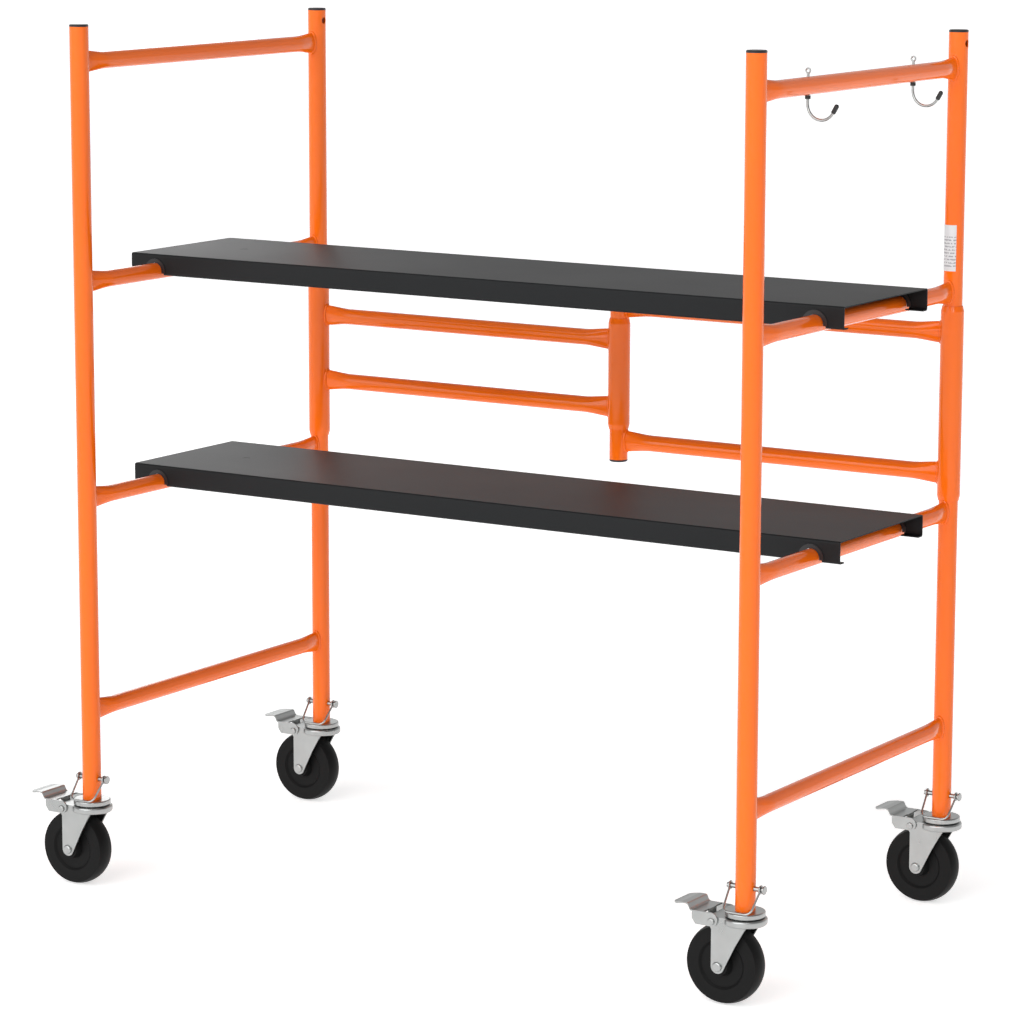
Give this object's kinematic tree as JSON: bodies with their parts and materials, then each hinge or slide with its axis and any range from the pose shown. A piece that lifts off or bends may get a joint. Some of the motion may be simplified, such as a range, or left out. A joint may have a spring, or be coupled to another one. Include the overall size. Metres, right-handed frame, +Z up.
{
  "type": "baker scaffold",
  "caption": "Rolling baker scaffold: welded tube end frames, hinged folding rear leaves, lift-off steel decks on the rungs, braked swivel casters and tool hooks.",
  "frame": {"origin": "on the floor, under the middle of the whole scaffold's box", "axes": "+Z up, +X along the decks towards the end frame with the tool hooks, +Y towards the folding leaves"},
  "size_m": [1.139, 0.595, 1.162],
  "materials": {
    "orange_powder_coat": "gloss powder coat",
    "deck_powder_coat": "satin black powder coat",
    "zinc_plate": "bright zinc plate",
    "bearing_steel": "polished",
    "black_plastic": "moulded",
    "black_wheel": "moulded",
    "label_vinyl": "printed vinyl, plain"
  },
  "bodies": {
    "left_frame": {"left_front_post": "orange_powder_coat", "left_rear_post": "orange_powder_coat", "left_bottom_rung": "orange_powder_coat", "left_lower_rung": "orange_powder_coat", "left_upper_rung": "orange_powder_coat", "left_top_rail": "orange_powder_coat", "left_post_caps": "black_plastic", "left_caster_stems": "zinc_plate", "left_caster_pins": "zinc_plate", "left_swivel_balls": "bearing_steel"},
    "right_frame": {"right_front_post": "orange_powder_coat", "right_rear_post": "orange_powder_coat", "right_bottom_rung": "orange_powder_coat", "right_lower_rung": "orange_powder_coat", "right_upper_rung": "orange_powder_coat", "right_top_rail": "orange_powder_coat", "right_post_caps": "black_plastic", "right_caster_stems": "zinc_plate", "right_caster_pins": "zinc_plate", "right_swivel_balls": "bearing_steel", "tool_hooks": "zinc_plate", "hook_tips_and_collars": "black_plastic", "rating_label": "label_vinyl"},
    "left_leaf": {"left_post_sleeve": "orange_powder_coat", "left_leaf_upper_rail": "orange_powder_coat", "left_leaf_lower_rail": "orange_powder_coat", "centre_sleeve": "orange_powder_coat"},
    "right_leaf": {"centre_post": "orange_powder_coat", "centre_post_caps": "black_plastic", "right_leaf_upper_rail": "orange_powder_coat", "right_leaf_lower_rail": "orange_powder_coat", "right_post_sleeve": "orange_powder_coat"},
    "upper_deck_assembly": {"upper_deck": "deck_powder_coat", "upper_deck_saddles": "black_plastic", "upper_deck_latch_bolt": "zinc_plate"},
    "upper_deck_latch_strap": {"upper_deck_latch": "zinc_plate"},
    "lower_deck_assembly": {"lower_deck": "deck_powder_coat", "lower_deck_saddles": "black_plastic", "lower_deck_latch_bolt": "zinc_plate"},
    "lower_deck_latch_strap": {"lower_deck_latch": "zinc_plate"},
    "front_left_caster": {"front_left_fork": "zinc_plate", "front_left_axle_fasteners": "zinc_plate"},
    "front_left_caster_wheel": {"front_left_wheel": "black_wheel"},
    "front_left_pedal": {"front_left_brake_pedal": "zinc_plate"},
    "front_left_bail": {"front_left_pin_bail": "zinc_plate"},
    "front_right_caster": {"front_right_fork": "zinc_plate", "front_right_axle_fasteners": "zinc_plate"},
    "front_right_caster_wheel": {"front_right_wheel": "black_wheel"},
    "front_right_pedal": {"front_right_brake_pedal": "zinc_plate"},
    "front_right_bail": {"front_right_pin_bail": "zinc_plate"},
    "rear_left_caster": {"rear_left_fork": "zinc_plate", "rear_left_axle_fasteners": "zinc_plate"},
    "rear_left_caster_wheel": {"rear_left_wheel": "black_wheel"},
    "rear_left_pedal": {"rear_left_brake_pedal": "zinc_plate"},
    "rear_left_bail": {"rear_left_pin_bail": "zinc_plate"},
    "rear_right_caster": {"rear_right_fork": "zinc_plate", "rear_right_axle_fasteners": "zinc_plate"},
    "rear_right_caster_wheel": {"rear_right_wheel": "black_wheel"},
    "rear_right_pedal": {"rear_right_brake_pedal": "zinc_plate"},
    "rear_right_bail": {"rear_right_pin_bail": "zinc_plate"}
  },
  "joints": [
    {"name": "leaf_fold", "type": "hinge", "parent": "left_frame", "child": "left_leaf", "pos_m": [-0.48046, 0.27, 0.6763], "axis": [0, 0, 1], "range_deg": [0, 82]},
    {"name": "centre_hinge", "type": "hinge", "parent": "left_leaf", "child": "right_leaf", "pos_m": [0.02354, 0.27, 0.6763], "axis": [0, 0, 1], "range_deg": [-164, 0]},
    {"name": "right_post_hinge", "type": "hinge", "parent": "right_leaf", "child": "right_frame", "pos_m": [0.52754, 0.27, 0.6763], "axis": [0, 0, 1], "range_deg": [0, 82]},
    {"name": "upper_deck_lift", "type": "hinge", "parent": "left_frame", "child": "upper_deck_assembly", "pos_m": [-0.48046, 0, 0.823], "axis": [0, -1, 0], "range_deg": [0, 33]},
    {"name": "upper_deck_latch_turn", "type": "hinge", "parent": "upper_deck_assembly", "child": "upper_deck_latch_strap", "pos_m": [-0.41446, 0, 0.8427], "axis": [0, 0, 1], "range_deg": [0, 90]},
    {"name": "lower_deck_lift", "type": "hinge", "parent": "left_frame", "child": "lower_deck_assembly", "pos_m": [-0.48046, 0, 0.533], "axis": [0, -1, 0], "range_deg": [0, 33]},
    {"name": "lower_deck_latch_turn", "type": "hinge", "parent": "lower_deck_assembly", "child": "lower_deck_latch_strap", "pos_m": [-0.41446, 0, 0.5527], "axis": [0, 0, 1], "range_deg": [0, 90]},
    {"name": "front_left_swivel", "type": "hinge", "parent": "left_frame", "child": "front_left_caster", "pos_m": [-0.48046, -0.27, 0.113], "axis": [0, 0, 1], "continuous": true},
    {"name": "front_left_wheel_spin", "type": "hinge", "parent": "front_left_caster", "child": "front_left_caster_wheel", "pos_m": [-0.50646, -0.27, 0.0508], "axis": [0, 1, 0], "continuous": true},
    {"name": "front_left_brake", "type": "hinge", "parent": "front_left_caster", "child": "front_left_pedal", "pos_m": [-0.51446, -0.27, 0.107], "axis": [0, -1, 0], "range_deg": [0, 15]},
    {"name": "front_left_bail_swing", "type": "hinge", "parent": "left_frame", "child": "front_left_bail", "pos_m": [-0.48046, -0.27, 0.1495], "axis": [-1, 0, 0], "range_deg": [0, 110]},
    {"name": "front_right_swivel", "type": "hinge", "parent": "right_frame", "child": "front_right_caster", "pos_m": [0.52754, -0.27, 0.113], "axis": [0, 0, 1], "continuous": true},
    {"name": "front_right_wheel_spin", "type": "hinge", "parent": "front_right_caster", "child": "front_right_caster_wheel", "pos_m": [0.50154, -0.27, 0.0508], "axis": [0, 1, 0], "continuous": true},
    {"name": "front_right_brake", "type": "hinge", "parent": "front_right_caster", "child": "front_right_pedal", "pos_m": [0.49354, -0.27, 0.107], "axis": [0, -1, 0], "range_deg": [0, 15]},
    {"name": "front_right_bail_swing", "type": "hinge", "parent": "right_frame", "child": "front_right_bail", "pos_m": [0.52754, -0.27, 0.1495], "axis": [-1, 0, 0], "range_deg": [0, 110]},
    {"name": "rear_left_swivel", "type": "hinge", "parent": "left_frame", "child": "rear_left_caster", "pos_m": [-0.48046, 0.27, 0.113], "axis": [0, 0, 1], "continuous": true},
    {"name": "rear_left_wheel_spin", "type": "hinge", "parent": "rear_left_caster", "child": "rear_left_caster_wheel", "pos_m": [-0.50646, 0.27, 0.0508], "axis": [0, 1, 0], "continuous": true},
    {"name": "rear_left_brake", "type": "hinge", "parent": "rear_left_caster", "child": "rear_left_pedal", "pos_m": [-0.51446, 0.27, 0.107], "axis": [0, -1, 0], "range_deg": [0, 15]},
    {"name": "rear_left_bail_swing", "type": "hinge", "parent": "left_frame", "child": "rear_left_bail", "pos_m": [-0.48046, 0.27, 0.1495], "axis": [-1, 0, 0], "range_deg": [0, 110]},
    {"name": "rear_right_swivel", "type": "hinge", "parent": "right_frame", "child": "rear_right_caster", "pos_m": [0.52754, 0.27, 0.113], "axis": [0, 0, 1], "continuous": true},
    {"name": "rear_right_wheel_spin", "type": "hinge", "parent": "rear_right_caster", "child": "rear_right_caster_wheel", "pos_m": [0.50154, 0.27, 0.0508], "axis": [0, 1, 0], "continuous": true},
    {"name": "rear_right_brake", "type": "hinge", "parent": "rear_right_caster", "child": "rear_right_pedal", "pos_m": [0.49354, 0.27, 0.107], "axis": [0, -1, 0], "range_deg": [0, 15]},
    {"name": "rear_right_bail_swing", "type": "hinge", "parent": "right_frame", "child": "rear_right_bail", "pos_m": [0.52754, 0.27, 0.1495], "axis": [-1, 0, 0], "range_deg": [0, 110]}
  ],
  "couplings": [
    {"joint": "centre_hinge", "follows": "leaf_fold", "ratio": -2},
    {"joint": "right_post_hinge", "follows": "leaf_fold", "ratio": 1},
    {"joint": "upper_deck_lift", "follows": "leaf_fold", "ratio": 0.4},
    {"joint": "lower_deck_lift", "follows": "leaf_fold", "ratio": 0.4}
  ]
}
